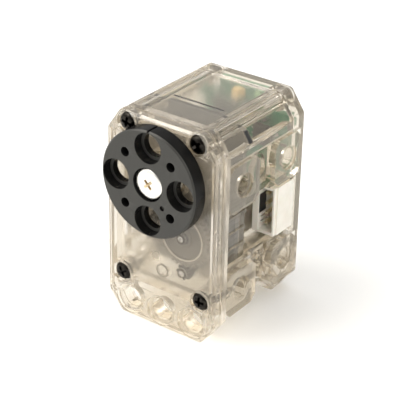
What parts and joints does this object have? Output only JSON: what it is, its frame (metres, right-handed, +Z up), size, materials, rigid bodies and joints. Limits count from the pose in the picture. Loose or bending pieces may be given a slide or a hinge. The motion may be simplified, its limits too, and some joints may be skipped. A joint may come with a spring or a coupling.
{
  "type": "servo actuator module",
  "caption": "Smart servo actuator with a smoky clear three-part case, stepped-hole output disc, visible gear train, side cable headers and fixing holes on a regular pitch.",
  "frame": {"origin": "centre of the base: midway across the width and over the full depth from the output disc to the rear cover, at the flanges' feet", "axes": "+X across the case to the right of a viewer who faces the output disc, -Y out of the output disc, +Z up"},
  "size_m": [0.03, 0.0386, 0.0515],
  "materials": {
    "clear_shell": "smoky clear moulded plastic",
    "clear_body": "smoky clear moulded plastic, frosted inside",
    "black_disc": "satin black moulded plastic",
    "black_screw": "black oxide",
    "nickel_screw": "bright nickel plate",
    "dark_plastic": "matte",
    "brass": "bright",
    "steel": "satin",
    "pinion_steel": "blackened",
    "motor_steel": "zinc plated",
    "cap_plastic": "matte",
    "sensor_plastic": "matte",
    "board_green": "solder mask",
    "chip_black": "matte",
    "capacitor_orange": "gloss",
    "led_green": "clear",
    "white_nylon": "satin",
    "gear_metal": "dark sintered",
    "gear_clear": "grey nylon"
  },
  "bodies": {
    "housing": {"front_cover": "clear_shell", "main_housing": "clear_body", "rear_cover": "clear_shell", "gear_plate": "dark_plastic", "front_bush": "brass", "rear_bush": "brass", "axle_1": "steel", "axle_2": "steel", "axle_3": "steel", "axle_washers": "steel", "motor_can": "motor_steel", "motor_end_cap": "cap_plastic", "motor_terminals": "brass", "motor_screws": "steel", "position_sensor": "sensor_plastic", "sensor_leads": "brass", "control_board": "board_green", "microcontroller": "chip_black", "motor_driver": "chip_black", "capacitor": "capacitor_orange", "crystal": "steel", "status_led": "led_green", "chip_resistors": "chip_black", "connector_right": "white_nylon", "connector_left": "white_nylon", "connector_pins_right": "brass", "connector_pins_left": "brass", "front_screws": "black_screw", "rear_screws": "steel"},
    "output": {"output_disc": "black_disc", "disc_screw": "nickel_screw", "output_shaft": "steel", "output_gear": "gear_metal"},
    "gear_3": {"gear_3_wheel": "gear_metal", "gear_3_pinion": "pinion_steel"},
    "gear_2": {"gear_2_wheel": "gear_clear", "gear_2_pinion": "pinion_steel"},
    "gear_1": {"gear_1_wheel": "gear_metal", "gear_1_pinion": "pinion_steel"},
    "rotor": {"motor_shaft": "steel", "motor_pinion": "gear_metal"}
  },
  "joints": [
    {"name": "output_turn", "type": "hinge", "parent": "housing", "child": "output", "pos_m": [0, -0.00695, 0.0384], "axis": [0, 1, 0], "range_deg": [-150, 150]},
    {"name": "gear_3_spin", "type": "hinge", "parent": "housing", "child": "gear_3", "pos_m": [-0.00391, -0.00695, 0.02569], "axis": [0, 1, 0], "range_deg": [-371, 371]},
    {"name": "gear_2_spin", "type": "hinge", "parent": "housing", "child": "gear_2", "pos_m": [0.005, -0.00695, 0.0244], "axis": [0, 1, 0], "range_deg": [-960, 960]},
    {"name": "gear_1_spin", "type": "hinge", "parent": "housing", "child": "gear_1", "pos_m": [0.00541, -0.00695, 0.01581], "axis": [0, 1, 0], "range_deg": [-4191, 4191]},
    {"name": "rotor_spin", "type": "hinge", "parent": "housing", "child": "rotor", "pos_m": [0.0006, -0.00695, 0.01973], "axis": [0, 1, 0], "range_deg": [-10240, 10240]}
  ],
  "couplings": [
    {"joint": "gear_3_spin", "follows": "output_turn", "ratio": -2.4545},
    {"joint": "gear_2_spin", "follows": "output_turn", "ratio": 6.3818},
    {"joint": "gear_1_spin", "follows": "output_turn", "ratio": -27.92},
    {"joint": "rotor_spin", "follows": "output_turn", "ratio": 68.25}
  ]
}
